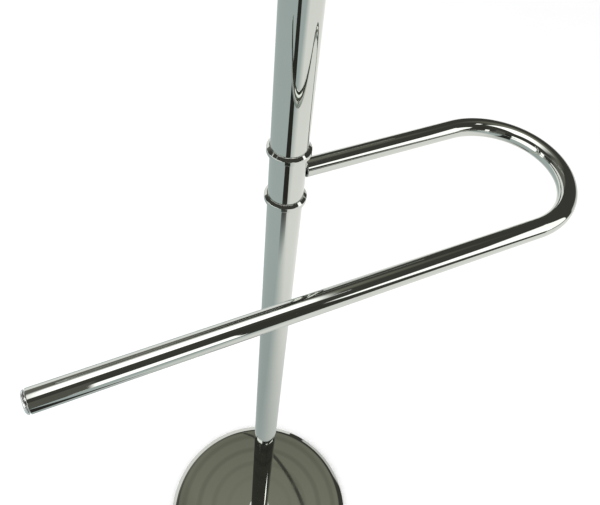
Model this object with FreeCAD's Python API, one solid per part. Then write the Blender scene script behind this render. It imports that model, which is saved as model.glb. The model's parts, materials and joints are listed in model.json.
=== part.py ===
"""Free-standing valet stand: a weighted round base, a tubular post and two U-shaped swing arms.

Each arm is carried by a collar that swivels on a spindle between two bead rings.
Frame: +Z up, origin on the floor at the centre of the base. The lower arm's short leg points
along +X and its long leg runs back past the post on the -Y side. The upper arm is the same
arm turned half a turn. Millimetres.
"""

import FreeCAD
import Part
import math
import os

V = FreeCAD.Vector
UP = V(0, 0, 1)
ALONG_X = V(1, 0, 0)

# ---------------------------------------------------------------- driving dimensions
POST_D = 25.4
POST_WALL = 1.2
ARM_D = 13.5
ARM_WALL = 1.2

BASE_D = 267.0
BASE_H = 15.0
BASE_LIP_W = 8.6       # sloping lip round the flat top of the base
BASE_LIP_DROP = 3.6
SHEET = 1.2

ARM_PITCH = 105.0      # centre to centre of an arm's two legs
SHORT_LEG = 134.0      # post axis to the start of the bend
LONG_LEG_REACH = 186.5  # post axis to the open end of the long leg's tube
LOWER_ARM_Z = BASE_H + 715.0
ARM_SPACING = 165.0

RING_D = 30.4
RING_H = 5.0
RING_SLOPE_W = 2.1     # sloping shoulder on top of each bead ring
RING_SLOPE_DROP = 1.75
RING_SPIGOT = 2.0
RING_PITCH = 43.4      # between the two bead rings of one swivel joint

SPINDLE_D = 12.0
THREAD_D = 10.0
THREAD_L = 16.0
PLUG_L = 20.0
CAP_H = 14.0
CAP_WALL = 6.0         # straight side of the top cap, below its dome
CAP_THREAD = 9.0

# ---------------------------------------------------------------- fits
SEAT = 0.05            # radial room where one piece is pushed into another
THREAD_ROOM = 0.05     # radial room in a threaded hole
RUN = 0.05             # radial room in a bush that turns on the spindle
SWIVEL_GAP = 0.2       # axial room between a collar and its bead rings

# ---------------------------------------------------------------- worked-out sizes
POST_R = POST_D / 2
POST_BORE_R = POST_R - POST_WALL
ARM_R = ARM_D / 2
ARM_BORE_R = ARM_R - ARM_WALL
BEND_R = ARM_PITCH / 2
BASE_R = BASE_D / 2
RING_R = RING_D / 2
SPINDLE_R = SPINDLE_D / 2
THREAD_R = THREAD_D / 2
UPPER_ARM_Z = LOWER_ARM_Z + ARM_SPACING
JOINT_HALF = RING_PITCH / 2 + RING_H / 2   # arm level to the outer face of a bead ring
COLLAR_L = RING_PITCH - RING_H - 2 * SWIVEL_GAP

# base
PAD_T = 2.0
PAD_R = BASE_R - 4.5
PAD_HOLE_R = 26.0
COVER_FOOT_Z = 1.0
WEIGHT_ROOM = 0.6
WEIGHT_LIP_ROOM = 0.4  # extra drop of the weight's rim under the cover's lip
WEIGHT_TOP_INSET = 2.0 # the weight's flat top ends this far inside the cover's
BOLT_HEAD_AF = 16.0
BOLT_HEAD_H = 4.0
WASHER_R = 14.0
WASHER_T = 1.2
POCKET_R = 16.0
BOLT_HOLE_R = THREAD_R + 0.4

# swivel joint
BUSH_L = 8.0
BUSH_RECESS = 1.0
WAVE_WASHER_T = 0.7
WAVE_WASHER_R = 9.5
COLLAR_WALL = 1.5
SCREW_D = 5.0
SCREW_HEAD_D = 8.4
SCREW_HEAD_H = 2.6
SCREW_L = 13.0
ARM_PLUG_L = 16.0

# arm tip
TIP_FLANGE = 2.2
TIP_STEP = 0.15
TIP_ROUND = 1.8
TIP_SPIGOT = 9.0


# ---------------------------------------------------------------- helpers
def cylinder(radius, z0, z1):
    """A cylinder on the post's axis from z0 up to z1."""
    return Part.makeCylinder(radius, z1 - z0, V(0, 0, z0), UP)


def tube(outer, inner, z0, z1):
    """A ring or tube on the post's axis."""
    return cylinder(outer, z0, z1).cut(cylinder(inner, z0 - 1, z1 + 1))


def turned(edges):
    """The solid of a closed profile in the XZ plane, turned about Z."""
    return Part.Face(Part.Wire(edges)).revolve(V(0, 0, 0), UP, 360)


def line(a, b):
    """A straight profile edge between two (radius, height) points."""
    return Part.LineSegment(V(a[0], 0, a[1]), V(b[0], 0, b[1])).toShape()


def closed_lines(points):
    """Straight profile edges through these (radius, height) points and back to the first."""
    return [line(a, b) for a, b in zip(points, points[1:] + points[:1])]


def arc(a, mid, b):
    """A profile arc through three (radius, height) points."""
    return Part.Arc(V(a[0], 0, a[1]), V(mid[0], 0, mid[1]), V(b[0], 0, b[1])).toShape()


def rod_x(radius, x0, x1, y, z):
    """A cylinder along X."""
    return Part.makeCylinder(radius, x1 - x0, V(x0, y, z), ALONG_X)


def half_turn(shape):
    """The shape turned 180 degrees about the post's axis."""
    turned_shape = shape.copy()
    turned_shape.rotate(V(0, 0, 0), UP, 180)
    return turned_shape


def save(name, shape):
    """Writes one node's STEP file after testing its solids."""
    if not shape.isValid() or not shape.Solids:
        raise ValueError(name + " is not a valid solid")
    volume = sum(s.Volume for s in shape.Solids)
    print("%-28s solids %d  volume %.1f mm3" % (name, len(shape.Solids), volume))
    shape.exportStep("parts/" + name + ".step")


# ---------------------------------------------------------------- base
def base_cover():
    """Pressed sheet-steel cover: a flat top, a sloping lip and a short skirt."""
    top = BASE_H
    lip_r = BASE_R - BASE_LIP_W
    lip_z = top - BASE_LIP_DROP
    slope = math.atan2(BASE_LIP_DROP, BASE_LIP_W)
    under_r = lip_r - SHEET * math.tan(slope / 2)
    under_z = lip_z + SHEET * math.tan(slope) - SHEET / math.cos(slope)
    profile = [
        (BOLT_HOLE_R, top), (lip_r, top), (BASE_R, lip_z), (BASE_R, COVER_FOOT_Z),
        (BASE_R - SHEET, COVER_FOOT_Z), (BASE_R - SHEET, under_z),
        (under_r, top - SHEET), (BOLT_HOLE_R, top - SHEET),
    ]
    return turned(closed_lines(profile))


def base_weight():
    """Cast-iron disc, sloped under the cover's lip, with a pocket for the bolt head and washer."""
    z0 = PAD_T
    z1 = BASE_H - SHEET - SEAT
    radius = BASE_R - SHEET - WEIGHT_ROOM
    profile = [(BOLT_HOLE_R, z0), (radius, z0), (radius, z1 - BASE_LIP_DROP - WEIGHT_LIP_ROOM),
               (BASE_R - BASE_LIP_W - WEIGHT_TOP_INSET, z1), (BOLT_HOLE_R, z1)]
    disc = turned(closed_lines(profile))
    pocket = cylinder(POCKET_R, z0 - 1, bolt_seat_z())
    return disc.cut(pocket)


def bolt_seat_z():
    """Height of the pocket's roof, which the washer bears on."""
    return PAD_T + BOLT_HEAD_H + WASHER_T


def base_washer():
    z1 = bolt_seat_z() - SEAT
    return tube(WASHER_R, BOLT_HOLE_R - 0.2, z1 - WASHER_T, z1)


def base_bolt():
    """Hexagon-head bolt that pulls the post down onto the base from below."""
    head_top = bolt_seat_z() - WASHER_T - 2 * SEAT
    head_r = BOLT_HEAD_AF / 2 / math.cos(math.pi / 6)
    points = [V(head_r * math.cos(math.pi / 3 * i), head_r * math.sin(math.pi / 3 * i),
                head_top - BOLT_HEAD_H) for i in range(7)]
    head = Part.Face(Part.makePolygon(points)).extrude(V(0, 0, BOLT_HEAD_H))
    shank = cylinder(THREAD_R, head_top - 0.5, BASE_H + RING_H + THREAD_L)
    return head.fuse(shank).removeSplitter()


def base_pad():
    """Non-slip foam ring glued under the weight."""
    return tube(PAD_R, PAD_HOLE_R, 0, PAD_T - SEAT)


# ---------------------------------------------------------------- post
def bead_ring(z0, spigot_below, spigot_above):
    """Bead ring: a bored disc with a sloping shoulder, and a low spigot that centres a tube end.

    z0 is the ring's lower face. The rim stands proud of the tubes above and below it.
    """
    z1 = z0 + RING_H
    bore = SPINDLE_R + SEAT
    ring = turned(closed_lines([
        (bore, z0), (RING_R, z0), (RING_R, z1 - RING_SLOPE_DROP), (RING_R - RING_SLOPE_W, z1), (bore, z1)]))
    spigot_r = POST_BORE_R - SEAT
    if spigot_below:
        ring = ring.fuse(tube(spigot_r, bore, z0 - RING_SPIGOT, z0 + 0.5))
    if spigot_above:
        ring = ring.fuse(tube(spigot_r, bore, z1 - 0.5, z1 + RING_SPIGOT))
    return ring.removeSplitter()


def post_tube(z0, z1):
    """A length of post, with its two outer edges eased."""
    body = tube(POST_R, POST_BORE_R, z0, z1)
    ease = 0.4
    ends = [e for e in body.Edges
            if e.BoundBox.ZLength < 0.01 and abs(e.BoundBox.XLength - POST_D) < 0.01]
    return body.makeChamfer(ease, ends)


def tube_plug(z0, z1, thread_from, thread_to):
    """Threaded plug pressed into a tube's end."""
    plug = cylinder(POST_BORE_R - SEAT, z0, z1)
    return plug.cut(cylinder(THREAD_R + THREAD_ROOM, thread_from, thread_to))


def spindle(arm_z):
    """Turned spindle of one swivel joint: a bearing length between two threaded ends."""
    body = cylinder(SPINDLE_R, arm_z - JOINT_HALF - RING_SPIGOT + SEAT,
                    arm_z + JOINT_HALF + RING_SPIGOT - SEAT)
    screw = cylinder(THREAD_R, arm_z - JOINT_HALF - THREAD_L, arm_z + JOINT_HALF + THREAD_L)
    return body.fuse(screw).removeSplitter()


def top_cap(z0):
    """Domed cap that closes the post above the upper arm; it screws onto the spindle."""
    side = z0 + CAP_WALL
    top = z0 + CAP_H
    rise = CAP_H - CAP_WALL
    dome_r = (POST_R ** 2 + rise ** 2) / (2 * rise)
    half = math.asin(POST_R / dome_r) / 2
    mid = (dome_r * math.sin(half), top - dome_r + dome_r * math.cos(half))
    edges = [
        line((0, z0), (POST_R, z0)),
        line((POST_R, z0), (POST_R, side)),
        arc((POST_R, side), mid, (0, top)),
        line((0, top), (0, z0)),
    ]
    cap = turned(edges)
    rim = [e for e in cap.Edges if abs(e.BoundBox.ZMin - side) < 0.01 and e.BoundBox.ZLength < 0.01]
    cap = cap.makeFillet(1.5, rim)
    spigot_room = cylinder(POST_BORE_R, z0 - 1, z0 + RING_SPIGOT + SEAT)
    thread = cylinder(THREAD_R + THREAD_ROOM, z0 - 1, z0 + CAP_THREAD)
    return cap.cut(spigot_room).cut(thread)


def upper_spindle(arm_z):
    """The upper joint's spindle, with a shorter thread for the cap."""
    whole = spindle(arm_z)
    cut_z = arm_z + JOINT_HALF + CAP_THREAD - 0.5
    return whole.cut(cylinder(SPINDLE_R, cut_z, cut_z + THREAD_L))


def wave_washer(arm_z):
    """Spring washer between the upper bush and the upper bead ring; it gives the arm its drag."""
    z1 = arm_z + JOINT_HALF - RING_H - SEAT
    return tube(WAVE_WASHER_R, SPINDLE_R + 0.2, z1 - WAVE_WASHER_T, z1)


# ---------------------------------------------------------------- arm
def collar(arm_z):
    """Swivel collar with a side hole for the arm's screw."""
    body = tube(POST_R, POST_R - COLLAR_WALL, arm_z - COLLAR_L / 2, arm_z + COLLAR_L / 2)
    ends = [e for e in body.Edges
            if e.BoundBox.ZLength < 0.01 and abs(e.BoundBox.XLength - POST_D) < 0.01]
    body = body.makeChamfer(0.3, ends)
    return body.cut(rod_x(SCREW_D / 2 + 0.25, 0, POST_R + 2, 0, arm_z))


def bush(arm_z, upper):
    """Nylon bush pressed into one end of the collar."""
    half = COLLAR_L / 2
    if upper:
        z1 = arm_z + half - BUSH_RECESS
        z0 = z1 - BUSH_L
    else:
        z0 = arm_z - half
        z1 = z0 + BUSH_L
    return tube(POST_R - COLLAR_WALL - SEAT, SPINDLE_R + RUN, z0, z1)


def arm_tube(arm_z):
    """U-bent tube: a short leg from the collar, a half-circle bend and a long leg past the post."""
    x_start = POST_R + SEAT
    x_end = -LONG_LEG_REACH
    across = V(0, 1, 0)

    def section(x, y):
        outer = Part.Wire(Part.Circle(V(x, y, arm_z), ALONG_X, ARM_R).toShape())
        inner = Part.Wire(Part.Circle(V(x, y, arm_z), ALONG_X, ARM_BORE_R).toShape())
        return Part.Face(outer).cut(Part.Face(inner)).Faces[0]

    short = section(x_start, 0).extrude(V(SHORT_LEG - x_start, 0, 0))
    bend = section(SHORT_LEG, 0).revolve(V(SHORT_LEG, -BEND_R, arm_z), UP, -180)
    long = section(x_end, -ARM_PITCH).extrude(V(SHORT_LEG - x_end, 0, 0))
    return short.fuse([bend, long]).removeSplitter()


def arm_plug(arm_z):
    """Threaded plug in the short leg's end, which the arm's screw pulls against the collar."""
    x0 = POST_R + 2 * SEAT
    plug = rod_x(ARM_BORE_R - SEAT, x0, x0 + ARM_PLUG_L, 0, arm_z)
    return plug.cut(rod_x(SCREW_D / 2 + THREAD_ROOM, x0 - 1, x0 + ARM_PLUG_L + 1, 0, arm_z))


def arm_screw(arm_z):
    """Pan-head screw from inside the collar into the arm's plug."""
    bore = POST_R - COLLAR_WALL
    seat = math.sqrt(bore ** 2 - (SCREW_HEAD_D / 2) ** 2) - SEAT
    head = rod_x(SCREW_HEAD_D / 2, seat - SCREW_HEAD_H, seat, 0, arm_z)
    rim = [e for e in head.Edges if abs(e.BoundBox.XMax - (seat - SCREW_HEAD_H)) < 0.01]
    head = head.makeFillet(0.8, rim)
    shank = rod_x(SCREW_D / 2, seat - 0.5, seat + SCREW_L, 0, arm_z)
    slot = Part.makeBox(1.0, SCREW_HEAD_D, 1.0,
                        V(seat - SCREW_HEAD_H - 0.01, -SCREW_HEAD_D / 2, arm_z - 0.5))
    return head.fuse(shank).removeSplitter().cut(slot)


def arm_tip(arm_z):
    """End plug of the long leg: a shallow dome, a hair slimmer than the tube, and a spigot."""
    x1 = -LONG_LEG_REACH - SEAT
    x0 = x1 - TIP_FLANGE
    flange = rod_x(ARM_R - TIP_STEP, x0, x1, -ARM_PITCH, arm_z)
    rim = [e for e in flange.Edges if e.BoundBox.XMax < x0 + 0.01]
    flange = flange.makeFillet(TIP_ROUND, rim)
    spigot = rod_x(ARM_BORE_R - SEAT, x1 - 0.5, x1 + TIP_SPIGOT, -ARM_PITCH, arm_z)
    return flange.fuse(spigot).removeSplitter()


# ---------------------------------------------------------------- assembly
def save_base():
    save("base_cover", base_cover())
    save("base_weight", base_weight())
    save("base_pad", base_pad())
    save("base_washer", base_washer())
    save("base_bolt", base_bolt())


def save_post():
    foot = BASE_H + RING_H
    low_joint = LOWER_ARM_Z - JOINT_HALF
    low_top = LOWER_ARM_Z + JOINT_HALF
    up_joint = UPPER_ARM_Z - JOINT_HALF
    up_top = UPPER_ARM_Z + JOINT_HALF
    seat = RING_SPIGOT + SEAT

    save("foot_ring", bead_ring(BASE_H, False, True))
    save("foot_plug", tube_plug(foot + seat, foot + seat + PLUG_L, foot, foot + 60))
    save("lower_post_tube", post_tube(foot, low_joint))
    save("lower_post_top_plug",
         tube_plug(low_joint - seat - PLUG_L, low_joint - seat, low_joint - 60, low_joint))
    save("lower_joint_bottom_ring", bead_ring(low_joint, True, False))
    save("lower_joint_top_ring", bead_ring(low_top - RING_H, False, True))
    save("lower_spindle", spindle(LOWER_ARM_Z))
    save("lower_wave_washer", wave_washer(LOWER_ARM_Z))
    save("upper_post_bottom_plug",
         tube_plug(low_top + seat, low_top + seat + PLUG_L, low_top, low_top + 60))
    save("upper_post_tube", post_tube(low_top, up_joint))
    save("upper_post_top_plug",
         tube_plug(up_joint - seat - PLUG_L, up_joint - seat, up_joint - 60, up_joint))
    save("upper_joint_bottom_ring", bead_ring(up_joint, True, False))
    save("upper_joint_top_ring", bead_ring(up_top - RING_H, False, True))
    save("upper_spindle", upper_spindle(UPPER_ARM_Z))
    save("upper_wave_washer", wave_washer(UPPER_ARM_Z))
    save("top_cap", top_cap(up_top))


def save_arm(prefix, arm_z, place):
    """One arm with its collar, turned into place."""
    save(prefix + "_collar", place(collar(arm_z)))
    save(prefix + "_collar_top_bush", place(bush(arm_z, True)))
    save(prefix + "_collar_bottom_bush", place(bush(arm_z, False)))
    save(prefix + "_arm_tube", place(arm_tube(arm_z)))
    save(prefix + "_arm_plug", place(arm_plug(arm_z)))
    save(prefix + "_arm_screw", place(arm_screw(arm_z)))
    save(prefix + "_arm_tip", place(arm_tip(arm_z)))


os.makedirs("parts", exist_ok=True)
save_base()
save_post()
save_arm("lower", LOWER_ARM_Z, lambda shape: shape)
save_arm("upper", UPPER_ARM_Z, half_turn)
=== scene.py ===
"""Looks of the swing-arm valet stand: mirror-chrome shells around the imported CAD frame.

Every chrome piece is remade here as a fine mesh, because a mirror shows each facet. The studio is
a white floor and sky for the camera, and a set of cards that only the chrome sees.
Metres, in the CAD frame: +Z up, the post on the Z axis, the lower arm's long leg on the -Y side.
"""
import json
import math

import bmesh
import bpy
from mathutils import Matrix, Vector


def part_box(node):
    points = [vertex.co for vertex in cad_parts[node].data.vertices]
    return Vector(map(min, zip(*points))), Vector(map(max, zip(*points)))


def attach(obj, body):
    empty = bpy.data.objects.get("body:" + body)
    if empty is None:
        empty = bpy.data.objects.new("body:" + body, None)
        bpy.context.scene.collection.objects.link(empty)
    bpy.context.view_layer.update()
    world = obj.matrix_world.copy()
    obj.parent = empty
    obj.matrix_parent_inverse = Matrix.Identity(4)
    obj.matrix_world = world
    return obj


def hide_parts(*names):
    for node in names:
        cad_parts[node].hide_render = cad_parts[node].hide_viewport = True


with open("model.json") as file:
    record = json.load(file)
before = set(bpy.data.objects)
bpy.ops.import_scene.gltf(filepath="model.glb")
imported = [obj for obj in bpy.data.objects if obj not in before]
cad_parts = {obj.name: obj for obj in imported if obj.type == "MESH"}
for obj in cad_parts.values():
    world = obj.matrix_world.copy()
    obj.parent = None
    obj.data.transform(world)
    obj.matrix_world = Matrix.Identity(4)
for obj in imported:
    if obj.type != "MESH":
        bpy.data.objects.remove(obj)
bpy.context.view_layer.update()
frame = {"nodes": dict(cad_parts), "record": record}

MM = 0.001

# ---------------------------------------------------------------- camera
CAMERA_FROM_POST = (-0.1431, -0.2775)
CAMERA_OVER_ARM = 0.2939
CAMERA_YAW = math.radians(30.07)      # from +Y towards +X
CAMERA_DOWN = math.radians(50.43)
CAMERA_ROLL = math.radians(6.95)
CAMERA_LENS = 37.54                   # mm
CAMERA_SENSOR = 36.0                  # mm, across

# ---------------------------------------------------------------- mesh quality
ROUND = 128           # facets round the post's pieces
DISC_ROUND = 256      # facets round the base
ARM_ROUND = 72        # facets round an arm tube
TIP_ROUND = 96        # facets round an arm's end plug
BEND_STEPS = 96       # rings along an arm's bend
LEG_STEPS = 6         # rings along each straight leg
DISC_STEPS = 120      # rings across the flat of the base
ROLL_STEPS = 10       # rings round the roll into the base's lip
CROWN_STEPS = 40      # rings over the cap's dome
FILLET_STEPS = 8
HOLD = 0.25 * MM      # distance of the holding loop beside a rounded edge
FOOT_EASE = 0.3 * MM  # chamfer round the foot of the base and the cap
SEAT = 0.05 * MM      # room between two pieces that meet


# ================================================================ meshes
def mesh_object(name, verts, faces):
    """A smooth-shaded mesh object."""
    mesh = bpy.data.meshes.new(name)
    mesh.from_pydata(verts, [], faces)
    mesh.validate()
    mesh.polygons.foreach_set("use_smooth", [True] * len(mesh.polygons))
    obj = bpy.data.objects.new(name, mesh)
    bpy.context.scene.collection.objects.link(obj)
    return obj


def rounded_outline(corners):
    """Points of a closed outline of (r, z, fillet) corners, with holding points by each fillet."""
    points = []
    count = len(corners)
    for i, (r, z, fillet) in enumerate(corners):
        here = Vector((r, z))
        before = Vector(corners[i - 1][:2])
        after = Vector(corners[(i + 1) % count][:2])
        to_before = (before - here).normalized()
        to_after = (after - here).normalized()
        if fillet <= 0:
            points.append(here)
            continue
        half = to_before.angle(to_after) / 2
        reach = fillet / math.tan(half)
        centre = here + (to_before + to_after).normalized() * fillet / math.sin(half)
        start = here + to_before * reach
        end = here + to_after * reach
        if (before - here).length > reach + HOLD * 2:
            points.append(start + to_before * HOLD)
        points += arc_between(centre, start, end)
        if (after - here).length > reach + HOLD * 2:
            points.append(end + to_after * HOLD)
    return points


def arc_between(centre, start, end):
    """Points of the shorter arc about centre from start to end."""
    a0 = math.atan2(start.y - centre.y, start.x - centre.x)
    a1 = math.atan2(end.y - centre.y, end.x - centre.x)
    sweep = (a1 - a0 + math.pi) % (2 * math.pi) - math.pi
    radius = (start - centre).length
    angles = [a0 + sweep * i / FILLET_STEPS for i in range(FILLET_STEPS + 1)]
    return [centre + radius * Vector((math.cos(a), math.sin(a))) for a in angles]


def lathe(name, outline, facets=ROUND, closed=True):
    """Turns (r, z) points about Z. Points on the axis become one vertex."""
    verts = []
    rings = []
    for point in outline:
        if point[0] < 1e-7:
            rings.append([len(verts)] * facets)
            verts.append((0, 0, point[1]))
            continue
        rings.append(list(range(len(verts), len(verts) + facets)))
        for k in range(facets):
            a = 2 * math.pi * k / facets
            verts.append((point[0] * math.cos(a), point[0] * math.sin(a), point[1]))
    faces = []
    pairs = list(zip(rings, rings[1:]))
    if closed:
        pairs.append((rings[-1], rings[0]))
    for low, high in pairs:
        for k in range(facets):
            nxt = (k + 1) % facets
            face = [low[k], low[nxt], high[nxt], high[k]]
            face = [v for i, v in enumerate(face) if v != face[i - 1]]
            if len(set(face)) > 2:
                faces.append(face)
    return mesh_object(name, verts, faces)


def radius_of(node):
    low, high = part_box(node)
    return (high.x - low.x) / 2


def ring_face(node):
    """Lower and upper face heights of a bead ring, without its spigot."""
    low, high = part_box(node)
    spigot = 2.0 * MM
    if "bottom" in node:
        return low.z + spigot, high.z
    return low.z, high.z - spigot


# ================================================================ chrome pieces
POST_R = radius_of("lower_post_tube")
TUBE_WALL = 1.2 * MM


def tube_shell(node, end_round):
    """A post tube or collar: a hollow sleeve with eased ends."""
    low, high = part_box(node)
    outer = radius_of(node)
    inner = outer - TUBE_WALL
    return lathe("chrome_" + node, rounded_outline([
        (inner, low.z, 0), (outer, low.z, end_round),
        (outer, high.z, end_round), (inner, high.z, 0)]))


def bead_ring(node):
    """A collar round the post: a sloping shoulder over a straight side."""
    z0, z1 = ring_face(node)
    outer = radius_of(node)
    bore = 6.3 * MM
    shoulder_width = 2.1 * MM
    shoulder_drop = 1.75 * MM
    foot_round = 0.4 * MM
    side_round = 0.5 * MM
    top_round = 0.35 * MM
    return lathe("chrome_" + node, rounded_outline([
        (bore, z0, 0.0),
        (outer, z0, foot_round),
        (outer, z1 - shoulder_drop, side_round),
        (outer - shoulder_width, z1, top_round),
        (bore, z1, 0.0)]))


def base_cover(node):
    """The pressed disc: a flat top, a roll into a sloping lip, and a skirt."""
    low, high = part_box(node)
    outer = radius_of(node)
    sheet = 1.2 * MM
    bend_thickness = sheet * 1.2
    hole = 5.4 * MM
    roll = 8.5 * MM       # radius of the roll from the top into the lip
    lip = 4.5 * MM        # width of the lip beyond the roll
    lip_slope = math.radians(29)
    corner = 0.7 * MM     # radius from the lip into the skirt
    flat = outer - lip - roll * math.sin(lip_slope)
    radii = [hole + (flat - hole) * i / DISC_STEPS for i in range(DISC_STEPS + 1)]
    top = [Vector((r, high.z - press_dip(r / outer))) for r in radii]
    start = top[-1]
    bends = [lip_slope * i / ROLL_STEPS for i in range(1, ROLL_STEPS + 1)]
    rolled = [start + roll * Vector((math.sin(a), math.cos(a) - 1)) for a in bends]
    inset = corner * (1 - math.sin(lip_slope))
    fall = Vector((1, -math.tan(lip_slope)))
    lip_end = rolled[-1] + fall * (outer - inset - rolled[-1].x)
    centre = lip_end - corner * Vector((math.sin(lip_slope), math.cos(lip_slope)))
    turns = [lip_slope + (math.pi / 2 - lip_slope) * i / FILLET_STEPS for i in range(FILLET_STEPS + 1)]
    rounded = [centre + corner * Vector((math.sin(a), math.cos(a))) for a in turns]
    before = lip_end - fall.normalized() * HOLD
    skirt = [Vector((outer, centre.y - HOLD)), Vector((outer, low.z + FOOT_EASE)),
             Vector((outer - FOOT_EASE, low.z)), Vector((outer - sheet, low.z))]
    inside = [Vector((outer - sheet, lip_end.y - sheet)), Vector((flat, high.z - bend_thickness)),
              Vector((hole, high.z - sheet))]
    outline = top + rolled + [before] + rounded + skirt + inside
    return lathe("chrome_" + node, outline[::-1], DISC_ROUND)


def press_dip(share):
    """Depth of the pressed sheet below flat at this share of the radius; it grows toward the lip."""
    deepest = 0.10 * MM
    starts = 0.86
    return deepest * max(0.0, (share - starts) / (1 - starts)) ** 2


def top_cap(node):
    """Domed cap with a short straight side and a softened shoulder between them."""
    low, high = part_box(node)
    outer = radius_of(node)
    side = low.z + 6.0 * MM
    rise = high.z - side
    dome = (outer ** 2 + rise ** 2) / (2 * rise)
    soft = 1.5 * MM
    crown_radius = outer - soft * 0.55
    reach = math.asin(crown_radius / dome)
    angles = [reach * i / CROWN_STEPS for i in range(CROWN_STEPS + 1)]
    crown = [Vector((dome * math.sin(a), high.z - dome + dome * math.cos(a))) for a in angles]
    wall_top = Vector((outer, side - soft))
    bulge = Vector((0.16 * MM, 0.10 * MM))
    shoulder = [crown[-1].lerp(wall_top, share) + bulge for share in (0.33, 0.66)]
    wall = [wall_top, Vector((outer, side - soft - HOLD)),
            Vector((outer, low.z + FOOT_EASE)), Vector((outer - FOOT_EASE, low.z))]
    outline = crown + shoulder + wall + [Vector((0, low.z))]
    return lathe("chrome_" + node, outline[::-1], closed=False)


def arm_sizes(prefix, hand):
    """Sizes of an arm in its own frame. hand is +1 for the lower arm and -1 for the half-turned upper."""
    low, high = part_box(prefix + "_arm_tube")
    if hand < 0:
        low, high = Vector((-high.x, -high.y, low.z)), Vector((-low.x, -low.y, high.z))
    radius = (high.z - low.z) / 2
    pitch = high.y - low.y - 2 * radius
    return {"r": radius, "z": (low.z + high.z) / 2, "pitch": pitch, "bend": pitch / 2,
            "bend_x": high.x - pitch / 2 - radius, "end_x": low.x,
            "start_x": radius_of(prefix + "_collar") + SEAT}


def arm_stations(s):
    """(centre, direction, radius) along the tube from its root to its open end."""
    ease = 0.35 * MM      # rounding of the tube's two ends
    bend_start = s["bend_x"] - 1 * MM
    out = Vector((1, 0, 0))
    back = Vector((-1, 0, 0))
    stations = []

    def straight(x0, x1, y, along):
        for i in range(LEG_STEPS + 1):
            x = x0 + (x1 - x0) * i / LEG_STEPS
            stations.append((Vector((x, y, s["z"])), along, s["r"]))

    eased = [(ease * (1 - math.cos(a)), ease * (1 - math.sin(a)))
             for a in (0, math.pi / 8, math.pi / 4, 3 * math.pi / 8, math.pi / 2)]
    for along, less in eased:
        stations.append((Vector((s["start_x"] + along, 0, s["z"])), out, s["r"] - less))
    straight(s["start_x"] + ease + HOLD, bend_start, 0, out)
    for i in range(BEND_STEPS + 1):
        a = math.pi * i / BEND_STEPS
        x = s["bend_x"] + s["bend"] * math.sin(a)
        y = -s["bend"] * (1 - math.cos(a))
        stations.append((Vector((x, y, s["z"])), Vector((math.cos(a), -math.sin(a), 0)), s["r"]))
    straight(bend_start, s["end_x"] + ease + HOLD, -s["pitch"], back)
    for along, less in reversed(eased):
        stations.append((Vector((s["end_x"] + along, -s["pitch"], s["z"])), back, s["r"] - less))
    return stations


def arm_tube(prefix, hand):
    """U-bent tube, hollow, with eased ends."""
    sizes = arm_sizes(prefix, hand)
    outer = arm_stations(sizes)
    bore = sizes["r"] - TUBE_WALL
    inner = [(c, d, bore) for c, d, _ in reversed(outer)]
    verts = []
    for centre, along, radius in outer + inner:
        side = Vector((-along.y, along.x, 0))
        for k in range(ARM_ROUND):
            a = 2 * math.pi * k / ARM_ROUND
            point = centre + radius * (side * math.cos(a) + Vector((0, 0, 1)) * math.sin(a))
            verts.append((point.x * hand, point.y * hand, point.z))
    rows = len(outer) + len(inner)
    faces = []
    for i in range(rows):
        j = (i + 1) % rows
        for k in range(ARM_ROUND):
            nxt = (k + 1) % ARM_ROUND
            here, there = i * ARM_ROUND, j * ARM_ROUND
            faces.append((here + k, here + nxt, there + nxt, there + k))
    return mesh_object("chrome_" + prefix + "_arm_tube", verts, faces)


def arm_tip(prefix, hand):
    """End plug: a dark seam at the tube's end, then a slight taper, a rounded brink and a flat end."""
    sizes = arm_sizes(prefix, hand)
    low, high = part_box(prefix + "_arm_tip")
    outer = (high.z - low.z) / 2
    end = low.x if hand > 0 else -high.x
    neck = 4.6 * MM
    neck_round = 0.2 * MM
    spigot = 4 * MM
    root = sizes["end_x"] - SEAT
    seam = root - 0.75 * MM
    seam_round = 0.15 * MM
    flange_round = 0.12 * MM
    taper = 0.4 * MM
    taper_end = end + (seam - end) * 0.4
    brink = 1.4 * MM
    end_round = 0.4 * MM
    tip = lathe("chrome_" + prefix + "_arm_tip", rounded_outline([
        (0, root + spigot, 0.0),
        (neck, root + spigot, neck_round),
        (neck, seam, seam_round),
        (outer, seam, flange_round),
        (outer - taper, taper_end, end_round),
        (outer - brink, end, end_round),
        (0, end, 0.0)]), TIP_ROUND, closed=False)
    for v in tip.data.vertices:
        x, y, z = v.co
        v.co = (z * hand, (y - sizes["pitch"]) * hand, sizes["z"] + x)
    return tip


# ================================================================ materials
def new_material(name):
    material = bpy.data.materials.new(name)
    material.use_nodes = True
    tree = material.node_tree
    shader = tree.nodes["Principled BSDF"]
    return material, tree, shader


def add_node(tree, kind, inputs=None, **settings):
    """Adds a node, sets its properties and fills or links its inputs."""
    made = tree.nodes.new(kind)
    for key, value in settings.items():
        setattr(made, key, value)
    for key, value in (inputs or {}).items():
        if isinstance(value, bpy.types.NodeSocket):
            tree.links.new(value, made.inputs[key])
        else:
            made.inputs[key].default_value = value
    return made


def maths(tree, operation, *values):
    """A maths node's result for these numbers or node outputs."""
    return add_node(tree, "ShaderNodeMath", dict(enumerate(values)), operation=operation).outputs[0]


def vector_maths(tree, operation, *values, output=0):
    """The same for vectors. Operations that give a number have it at the output called Value."""
    made = add_node(tree, "ShaderNodeVectorMath", dict(enumerate(values)), operation=operation)
    return made.outputs[output]


def object_place(tree):
    """Where a point is on its object, in metres."""
    return add_node(tree, "ShaderNodeTexCoord").outputs["Object"]


def world_place(tree):
    """Where a point is in the scene, in metres."""
    return add_node(tree, "ShaderNodeNewGeometry").outputs["Position"]


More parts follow.
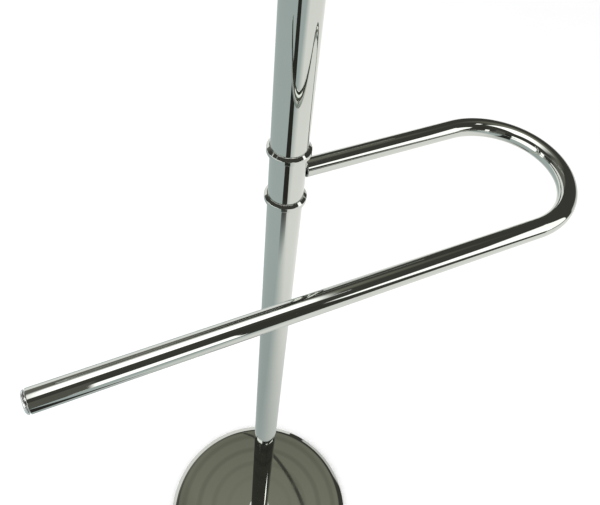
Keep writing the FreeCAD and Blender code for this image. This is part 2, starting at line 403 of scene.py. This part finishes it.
def ramp(tree, source, low, high, out_low, out_high):
    """Maps source from low..high to out_low..out_high, clamped."""
    return add_node(tree, "ShaderNodeMapRange", {
        "Value": source, "From Min": low, "From Max": high,
        "To Min": out_low, "To Max": out_high}).outputs["Result"]


def noise(tree, where, scale, detail=2.0, roughness=0.5):
    return add_node(tree, "ShaderNodeTexNoise", {
        "Vector": where, "Scale": scale, "Detail": detail, "Roughness": roughness}).outputs["Fac"]


def blend(tree, fac, dark, light):
    """A colour between two by fac; either may be a colour or another node's output."""
    mix = add_node(tree, "ShaderNodeMix", data_type="RGBA")
    colours = [socket for socket in mix.inputs if socket.type == "RGBA"]
    tree.links.new(fac, mix.inputs[0])
    for socket, value in zip(colours, (dark, light)):
        if isinstance(value, bpy.types.NodeSocket):
            tree.links.new(value, socket)
        else:
            socket.default_value = (*value, 1)
    return next(socket for socket in mix.outputs if socket.type == "RGBA")


def bump(tree, shader, height, strength, distance):
    made = add_node(tree, "ShaderNodeBump", {
        "Height": height, "Strength": strength, "Distance": distance})
    tree.links.new(made.outputs["Normal"], shader.inputs["Normal"])


def colour_and_roughness(tree, shader, colour, roughness):
    tree.links.new(colour, shader.inputs["Base Color"])
    tree.links.new(roughness, shader.inputs["Roughness"])


def chrome(name, bright, grain_axis, painted_rings=False, satin=0.0):
    """Mirror plate with faint wiping marks, pin specks and hair scratches along the given axis.

    With painted_rings the colour also has faint darker rings about the post's axis, a painted reflection of
    the room's darker arcs in the base. Satin adds to the roughness.
    """
    material, tree, shader = new_material(name)
    where = object_place(tree)
    smudge = noise(tree, where, 38.0, 4.0, 0.6)
    fine = noise(tree, where, 420.0, 2.0)
    stretch = [1400.0, 1400.0, 1400.0]
    stretch[grain_axis] = 22.0
    hair = noise(tree, vector_maths(tree, "MULTIPLY", where, stretch), 1.0, 1.0)
    scratch = ramp(tree, hair, 0.70, 0.78, 0.0, 1.0)
    speck = add_node(tree, "ShaderNodeTexVoronoi", {"Vector": where, "Scale": 240.0}).outputs["Distance"]
    pin = ramp(tree, speck, 0.045, 0.07, 1.0, 0.0)
    flaw = maths(tree, "MAXIMUM", scratch, pin)
    flaw_roughness = 0.10
    scratch_depth = 0.25
    darker = [c * 0.965 for c in bright]
    lighter = [c * 1.025 for c in bright]
    colour = blend(tree, smudge, darker, lighter)
    soft = ramp(tree, smudge, 0.35, 0.75, satin + 0.012, satin + 0.045)
    if painted_rings:
        # Painted reflection: darker soft rings multiplied into the plate's colour.
        colour = vector_maths(tree, "MULTIPLY", colour, painted_reflection_rings(tree, where))
    colour_and_roughness(tree, shader, colour, maths(tree, "MULTIPLY_ADD", flaw, flaw_roughness, soft))
    shader.inputs["Metallic"].default_value = 1.0
    height = maths(tree, "MULTIPLY_ADD", scratch, -scratch_depth, fine)
    bump(tree, shader, height, 0.03, 0.04 * MM)
    return material


def painted_reflection_rings(tree, where):
    """Painted reflection: 1 over most of the plate, less in soft rings that get fainter toward the middle.
    """
    spacing = 22.7 * MM
    outermost = 116.0 * MM
    deepest = 0.17
    flat = vector_maths(tree, "MULTIPLY", where, (1, 1, 0))
    reach = vector_maths(tree, "LENGTH", flat, output="Value")
    turn = 2 * math.pi / spacing
    wave = maths(tree, "COSINE", maths(tree, "MULTIPLY_ADD", reach, turn, -turn * outermost))
    ring = ramp(tree, wave, 0.1, 1.0, 0.0, 1.0)
    strength = ramp(tree, reach, 30.0 * MM, 90.0 * MM, 0.0, -deepest)
    return maths(tree, "MULTIPLY_ADD", ring, strength, 1.0)


def turned_steel():
    """Zinc-plated turned steel with fine rings about the post's axis."""
    material, tree, shader = new_material("turned_steel")
    where = object_place(tree)
    lines = noise(tree, vector_maths(tree, "MULTIPLY", where, (60.0, 60.0, 5200.0)), 1.0, 2.0)
    cloud = noise(tree, where, 90.0, 3.0)
    colour = blend(tree, cloud, (0.42, 0.43, 0.45), (0.60, 0.60, 0.58))
    colour_and_roughness(tree, shader, colour, ramp(tree, lines, 0.3, 0.7, 0.22, 0.42))
    shader.inputs["Metallic"].default_value = 1.0
    bump(tree, shader, lines, 0.25, 0.00005)
    return material


def cast_iron():
    """Black-lacquered sand casting."""
    material, tree, shader = new_material("cast_iron")
    where = object_place(tree)
    grain = noise(tree, where, 700.0, 4.0, 0.65)
    cloud = noise(tree, where, 45.0, 3.0)
    colour = blend(tree, cloud, (0.022, 0.022, 0.024), (0.055, 0.052, 0.05))
    colour_and_roughness(tree, shader, colour, ramp(tree, grain, 0.3, 0.7, 0.45, 0.75))
    bump(tree, shader, grain, 0.6, 0.0004)
    return material


def foam_rubber():
    """Closed-cell non-slip foam with open pores."""
    material, tree, shader = new_material("foam_rubber")
    where = object_place(tree)
    cells = add_node(tree, "ShaderNodeTexVoronoi", {"Vector": where, "Scale": 900.0}).outputs["Distance"]
    cloud = noise(tree, where, 60.0, 3.0)
    colour = blend(tree, cloud, (0.016, 0.016, 0.017), (0.04, 0.04, 0.042))
    colour_and_roughness(tree, shader, colour, ramp(tree, cells, 0.0, 0.6, 0.95, 0.75))
    bump(tree, shader, cells, 0.5, 0.0003)
    return material


def nylon():
    """Natural nylon, slightly waxy."""
    material, tree, shader = new_material("nylon")
    where = object_place(tree)
    cloud = noise(tree, where, 160.0, 3.0)
    colour = blend(tree, cloud, (0.70, 0.68, 0.60), (0.80, 0.78, 0.72))
    colour_and_roughness(tree, shader, colour, ramp(tree, cloud, 0.3, 0.7, 0.38, 0.55))
    bump(tree, shader, cloud, 0.15, 0.0001)
    return material


# ================================================================ building
PLATE = (0.630, 0.648, 0.612)
POST_CHROME = chrome("chrome_post", PLATE, 2)
ARM_CHROME = chrome("chrome_arm", PLATE, 0)
TIP_CHROME = chrome("chrome_tip", (0.86, 0.87, 0.86), 1, satin=0.24)
# The base's colour carries painted reflection: soft darker rings about the post's axis.
BASE_CHROME = chrome("chrome_base", (0.60, 0.615, 0.575), 1, painted_rings=True)
HARDWARE = {"steel": turned_steel(), "cast_iron": cast_iron(), "rubber": foam_rubber(), "nylon": nylon()}


def add_chrome(piece, material, body):
    """Finishes a remade chrome piece, which stands for the CAD node it is named after."""
    piece.data.materials.append(material)
    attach(piece, body)
    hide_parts(piece.name.removeprefix("chrome_"))


def build_stand():
    add_chrome(base_cover("base_cover"), BASE_CHROME, "stand")
    for name in ("foot_ring", "lower_joint_bottom_ring", "lower_joint_top_ring",
                 "upper_joint_bottom_ring", "upper_joint_top_ring"):
        add_chrome(bead_ring(name), POST_CHROME, "stand")
    for name in ("lower_post_tube", "upper_post_tube"):
        add_chrome(tube_shell(name, 0.4 * MM), POST_CHROME, "stand")
    add_chrome(top_cap("top_cap"), POST_CHROME, "stand")


def build_arm(prefix, hand):
    body = prefix + "_arm"
    add_chrome(tube_shell(prefix + "_collar", 0.35 * MM), POST_CHROME, body)
    add_chrome(arm_tube(prefix, hand), ARM_CHROME, body)
    add_chrome(arm_tip(prefix, hand), TIP_CHROME, body)


def finish_hardware():
    """Gives each CAD node that stays a procedural material, by its slot in the record."""
    for part in frame["record"]["subparts"]:
        material = HARDWARE.get(part["material_slot"])
        if material is not None:
            mesh = frame["nodes"][part["node"]].data
            mesh.materials.clear()
            mesh.materials.append(material)


# ================================================================ studio
ARM_Z = arm_sizes("lower", 1)["z"]
OLIVE = (1.0, 1.0, 0.86)
NEUTRAL = (1.0, 1.0, 0.985)
MIRROR_FLOOR = -0.002         # just under the floor that the camera sees
CEILING = ARM_Z + 1.60
BACK = 2.0                    # the lit sweep behind the stand


def mirror_only(obj):
    """Makes a stage object show only in reflections."""
    obj.visible_camera = False
    obj.visible_diffuse = False
    obj.visible_transmission = False
    obj.visible_volume_scatter = False
    obj.visible_shadow = False


def glow(name, colour, strength, soft=None):
    """Emission of a colour, or of what colour(tree) makes.

    soft is the share of the card's width and height over which it fades out.
    """
    material = bpy.data.materials.new(name)
    material.use_nodes = True
    tree = material.node_tree
    tree.nodes.clear()
    out = tree.nodes.new("ShaderNodeOutputMaterial")
    light = add_node(tree, "ShaderNodeEmission", {"Strength": strength})
    if callable(colour):
        tree.links.new(colour(tree), light.inputs["Color"])
    else:
        light.inputs["Color"].default_value = (*colour, 1)
    shader = light.outputs[0]
    if soft:
        parts = add_node(tree, "ShaderNodeSeparateXYZ", {
            0: add_node(tree, "ShaderNodeUVMap").outputs[0]}).outputs
        fade = maths(tree, "MULTIPLY", *[edge_share(tree, parts[axis], soft[axis]) for axis in (0, 1)])
        clear = add_node(tree, "ShaderNodeBsdfTransparent").outputs[0]
        shader = add_node(tree, "ShaderNodeMixShader", {0: fade, 1: clear, 2: shader}).outputs[0]
    tree.links.new(shader, out.inputs["Surface"])
    return material


def edge_share(tree, along, soft):
    """1 in the middle of a card and 0 at both ends of this axis."""
    middle = 0.5
    away = maths(tree, "ABSOLUTE", maths(tree, "SUBTRACT", along, middle))
    return add_node(tree, "ShaderNodeMapRange", {
        "Value": away, "From Min": middle - soft, "From Max": middle, "To Min": 1.0, "To Max": 0.0},
        interpolation_type="SMOOTHSTEP").outputs["Result"]


def card(name, corners, colour, strength, soft=None):
    """A four-cornered card that only the chrome sees."""
    obj = mesh_object(name, corners, [(0, 1, 2, 3)])
    layer = obj.data.uv_layers.new(name="UVMap")
    for loop, uv in zip(layer.data, ((0, 0), (1, 0), (1, 1), (0, 1))):
        loop.uv = uv
    obj.data.materials.append(glow(name, colour, strength, soft))
    mirror_only(obj)


def flat_card(name, x, y, z, **look):
    """A level card at height z. x and y are (from, to) pairs."""
    card(name, [(x[0], y[0], z), (x[1], y[0], z), (x[1], y[1], z), (x[0], y[1], z)], **look)


def front_card(name, y, bottom, top, **look):
    """A card facing the stand from the front: bottom and top are (x, z over the arm) pairs."""
    corners = [(x, y, ARM_Z + z) for x, z in bottom] + [(x, y, ARM_Z + z) for x, z in reversed(top)]
    card(name, corners, **look)


def back_card(name, y, x, over_arm, **look):
    """A card behind the stand, from the floor to these heights over the arm at its two sides."""
    card(name, [(x[0], y, MIRROR_FLOOR), (x[1], y, MIRROR_FLOOR),
                (x[1], y, ARM_Z + over_arm[1]), (x[0], y, ARM_Z + over_arm[0])], **look)


def side_card(name, x, y, over_arm, **look):
    """A card beside the stand, from the ground to this height over the arm."""
    top = ARM_Z + over_arm
    card(name, [(x, y[0], 0.0), (x, y[1], 0.0), (x, y[1], top), (x, y[0], top)], **look)


def floor_light(tree):
    """Mirror floor: warm and pale on the right; cool and dim on the photographer's left, a painted shadow of
    the photographer; dim by the base, a painted shadow of the stand.
    """
    where = world_place(tree)
    spot = add_node(tree, "ShaderNodeSeparateXYZ", {0: where}).outputs
    bend = maths(tree, "ABSOLUTE", maths(tree, "ADD", spot[1], 0.65))
    edge = maths(tree, "MULTIPLY_ADD", bend, 0.42, -0.31)
    # Painted shadow of the photographer: the floor is dim and cool on the left of this edge.
    lit = ramp(tree, maths(tree, "SUBTRACT", spot[0], edge), -0.15, 0.40, 0.0, 1.0)
    tone = blend(tree, lit, (0.49, 0.56, 0.56), (0.98, 0.98, 0.95))
    reach = vector_maths(tree, "LENGTH", where, output="Value")
    # Painted shadow of the stand: the floor dims toward the base.
    return vector_maths(tree, "MULTIPLY", tone, ramp(tree, reach, 0.12, 0.55, 0.80, 1.0))


def room_light(tree):
    """Ceiling and far walls: olive dusk, lighter behind the stand's left side and overhead."""
    way = vector_maths(tree, "NORMALIZE", world_place(tree))

    def along(direction, start, end):
        unit = Vector(direction).normalized()
        near = vector_maths(tree, "DOT_PRODUCT", way, unit, output="Value")
        return ramp(tree, near, start, end, 0.0, 1.0)

    def both(first, second):
        return maths(tree, "MULTIPLY", first, second)

    behind = both(along((-0.988, 0.156, 0.0), -0.05, 0.05), along((-0.15, 0.80, 0.58), 0.88, 0.94))
    above = both(along((0.0, 0.0, 1.0), 0.80, 0.985), along((-0.50, 0.87, 0.0), -0.25, 0.05))
    overhead = both(above, along((0.996, 0.087, 0.0), -0.06, 0.07))
    walls = blend(tree, behind, (0.058, 0.058, 0.051), (0.165, 0.165, 0.146))
    return blend(tree, overhead, walls, (0.310, 0.316, 0.250))


def build_room():
    """A dome round everything, for the ceiling and far walls."""
    radius = 6.0
    room = bpy.data.objects.new("studio_room", bpy.data.meshes.new("studio_room"))
    bpy.context.scene.collection.objects.link(room)
    shape = bmesh.new()
    bmesh.ops.create_icosphere(shape, subdivisions=4, radius=radius)
    shape.to_mesh(room.data)
    shape.free()
    room.data.materials.append(glow("studio_room", room_light, 1.0))
    mirror_only(room)


def build_mirror_studio():
    """What the chrome sees: a dim room, its lit floor, and bright and dark cards."""
    build_room()
    flat_card("mirror_floor", x=(-3.5, 3.5), y=(-3.5, 3.5), z=MIRROR_FLOOR, colour=floor_light, strength=1.0)
    flat_card("overhead_softbox", x=(-0.32, 0.26), y=(-0.60, 0.41), z=ARM_Z + 0.70,
              colour=NEUTRAL, strength=1.9, soft=(0.13, 0.34))
    front_card("front_window_right", y=-1.10, bottom=[(0.46, -0.02), (1.25, -0.15)],
               top=[(0.36, 0.72), (1.25, 1.08)], colour=NEUTRAL, strength=1.75, soft=(0.06, 0.08))
    front_card("front_window_far", y=-1.12, bottom=[(1.05, -0.12), (2.70, -0.40)],
               top=[(1.05, 1.02), (2.70, 2.90)], colour=NEUTRAL, strength=1.6, soft=(0.06, 0.05))
    front_card("front_window_middle", y=-1.14, bottom=[(-0.25, -0.22), (0.15, -0.14)],
               top=[(-0.25, 0.42), (0.15, 0.36)], colour=NEUTRAL, strength=1.75, soft=(0.06, 0.08))
    front_card("front_skirting", y=-1.06, bottom=[(0.30, -0.12), (0.98, -0.38)],
               top=[(0.30, 0.60), (0.98, 0.00)], colour=OLIVE, strength=0.06, soft=(0.05, 0.16))
    back_card("back_sweep_left", y=BACK, x=(-2.2, 0.70), over_arm=(0.68, 0.64),
              colour=NEUTRAL, strength=1.0, soft=(0.03, 0.03))
    back_card("back_sweep_right", y=BACK + 0.01, x=(0.50, 1.75), over_arm=(0.72, -0.25),
              colour=NEUTRAL, strength=1.0, soft=(0.03, 0.04))
    flat_card("far_lamp", x=(0.50, 0.66), y=(-0.66, -0.44), z=CEILING,
              colour=NEUTRAL, strength=2.5, soft=(0.10, 0.10))
    hanging_cable()
    side_card("right_wall", x=2.4, y=(2.2, -0.6), over_arm=0.05,
              colour=NEUTRAL, strength=0.70, soft=(0.05, 0.03))
    side_card("left_wall", x=-1.9, y=(-1.5, 1.0), over_arm=0.85,
              colour=NEUTRAL, strength=1.7, soft=(0.05, 0.05))


def hanging_cable():
    """A dark bowed strip under the ceiling, which the base shows as one thin curved line.

    It could be a hanging cable in the room. It belongs to the studio and not to the stand.
    """
    half = 9 * MM
    steps = 24
    near, length = 0.45, 0.92
    bow_x, bow_y, bow = 0.541, 0.62, 0.665
    verts = []
    for i in range(steps + 1):
        y = near + length * i / steps
        x = bow_x - bow * (y - bow_y) ** 2
        verts += [(x - half, y, CEILING), (x + half, y, CEILING)]
    faces = [(k, k + 1, k + 3, k + 2) for k in range(0, 2 * steps, 2)]
    cable = mesh_object("hanging_cable", verts, faces)
    cable.data.materials.append(glow("hanging_cable", OLIVE, 0.06))
    mirror_only(cable)


def build_photographer():
    """Dark shapes on the camera's side: a stand column near the floor, and arms and head above."""
    toward = Vector((*CAMERA_FROM_POST, 0)).normalized()
    side = Vector((-toward.y, toward.x, 0))
    foot = toward * 0.52
    left = -0.145

    def column(name, away, low, high, low_right, high_right, soft):
        ends = [(left, low), (low_right, low), (high_right, high), (left, high)]
        card(name, [(*(foot * away + side * offset).to_2d(), z) for offset, z in ends],
             OLIVE, 0.03, soft=soft)

    column("column_foot", away=1.0, low=-0.02, high=0.60, low_right=0.23, high_right=0.00,
           soft=(0.04, 0.36))
    column("column", away=1.02, low=0.30, high=ARM_Z + 0.2, low_right=0.09, high_right=-0.05,
           soft=(0.06, 0.05))
    flat_card("leaning_head", x=(-0.42, 0.30), y=(-0.56, -0.22), z=ARM_Z + 0.55,
              colour=OLIVE, strength=0.06, soft=(0.10, 0.10))
    front_card("left_sleeve", y=-0.64, bottom=[(-0.44, -0.10), (-0.17, -0.10)],
               top=[(-0.44, 0.55), (-0.17, 0.55)], colour=OLIVE, strength=0.12, soft=(0.05, 0.05))
    front_card("right_sleeve", y=-0.62, bottom=[(0.02, -0.03), (0.20, -0.03)],
               top=[(0.00, 0.75), (0.19, 0.75)], colour=OLIVE, strength=0.05, soft=(0.05, 0.05))


def build_floor():
    """White paper for the camera. The chrome sees the mirror floor instead."""
    half = 8.0
    floor = mesh_object("floor", [(-half, -half, 0), (half, -half, 0), (half, half, 0), (-half, half, 0)],
                        [(0, 1, 2, 3)])
    material, tree, shader = new_material("floor_paper")
    grain = noise(tree, world_place(tree), 6.0, 3.0)
    tree.links.new(blend(tree, grain, (0.90, 0.90, 0.90), (0.93, 0.93, 0.93)), shader.inputs["Base Color"])
    shader.inputs["Roughness"].default_value = 0.9
    shader.inputs["Specular IOR Level"].default_value = 0.0
    floor.data.materials.append(material)
    floor.visible_glossy = False


def build_sky():
    world = bpy.data.worlds.new("white_studio")
    world.use_nodes = True
    sky = world.node_tree.nodes["Background"]
    sky.inputs["Color"].default_value = (1, 1, 1, 1)
    sky.inputs["Strength"].default_value = 1.0
    bpy.context.scene.world = world


def build_key_light():
    """A broad lamp high on the camera's left, which the chrome doesn't show."""
    lamp = bpy.data.lights.new("key", "AREA")
    lamp.shape = "RECTANGLE"
    lamp.size = 1.6
    lamp.size_y = 1.6
    lamp.energy = 22.0
    key = bpy.data.objects.new("key", lamp)
    key.location = (-0.9, -0.6, 2.6)
    aim = Vector((0, 0, 0.4)) - key.location
    key.rotation_euler = aim.to_track_quat("-Z", "Y").to_euler()
    key.visible_glossy = False
    bpy.context.scene.collection.objects.link(key)


def build_camera():
    forward = Vector((math.sin(CAMERA_YAW) * math.cos(CAMERA_DOWN),
                      math.cos(CAMERA_YAW) * math.cos(CAMERA_DOWN), -math.sin(CAMERA_DOWN)))
    level = Vector((math.cos(CAMERA_YAW), -math.sin(CAMERA_YAW), 0))
    upright = level.cross(forward)
    right = level * math.cos(CAMERA_ROLL) + upright * math.sin(CAMERA_ROLL)
    up = upright * math.cos(CAMERA_ROLL) - level * math.sin(CAMERA_ROLL)
    data = bpy.data.cameras.new("camera")
    data.sensor_width = CAMERA_SENSOR
    data.lens = CAMERA_LENS
    data.clip_start = 0.01
    camera = bpy.data.objects.new("camera", data)
    turn = Matrix((right, up, -forward)).transposed().to_4x4()
    camera.matrix_world = Matrix.Translation((*CAMERA_FROM_POST, ARM_Z + CAMERA_OVER_ARM)) @ turn
    bpy.context.scene.collection.objects.link(camera)
    bpy.context.scene.camera = camera


build_camera()
build_stand()
build_arm("lower", 1)
build_arm("upper", -1)
finish_hardware()
build_mirror_studio()
build_photographer()
build_floor()
build_sky()
build_key_light()
bpy.context.scene.view_settings.view_transform = "Standard"
